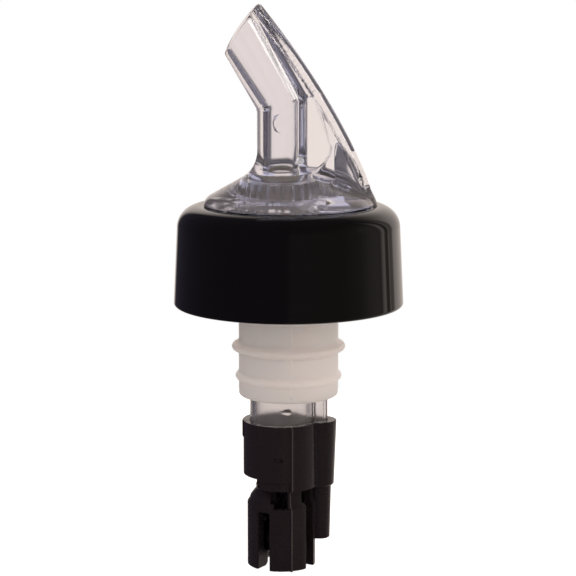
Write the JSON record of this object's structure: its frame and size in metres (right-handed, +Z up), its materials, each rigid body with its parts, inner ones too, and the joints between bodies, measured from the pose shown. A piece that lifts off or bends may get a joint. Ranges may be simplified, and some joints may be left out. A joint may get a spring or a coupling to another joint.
{
  "type": "liquor pour spout",
  "caption": "Measured pour spout with a clear leaning nozzle, round collar, ribbed stopper and a metering barrel that ends in a ball cage.",
  "frame": {"origin": "on the stopper's axis, in the plane where the bottle's lip meets the underside of the stopper's flange", "axes": "+Z up, out of the bottle; the nozzle pours towards -X and the breather tube is on the +X side"},
  "size_m": [0.0414, 0.0414, 0.102],
  "materials": {
    "clear_acrylic": "clear and polished",
    "barrel_acrylic": "clear and polished",
    "seat_nylon": "satin",
    "collar_black": "glossy",
    "stopper_polythene": "satin and translucent",
    "tail_black": "semi-gloss",
    "ball_steel": "polished"
  },
  "bodies": {
    "housing": {"spout_nozzle": "clear_acrylic", "valve_seat": "seat_nylon", "collar": "collar_black", "stopper": "stopper_polythene", "metering_barrel": "barrel_acrylic", "tail_cage": "tail_black"},
    "control_ball": {"control_ball": "ball_steel"},
    "breather_ball": {"breather_ball": "ball_steel"}
  },
  "joints": [
    {"name": "control_ball_travel", "type": "slide", "parent": "housing", "child": "control_ball", "axis": [0, 0, 1], "range_m": [0, 0.0621]},
    {"name": "breather_ball_travel", "type": "slide", "parent": "housing", "child": "breather_ball", "axis": [0, 0, 1], "range_m": [0, 0.0107]}
  ]
}
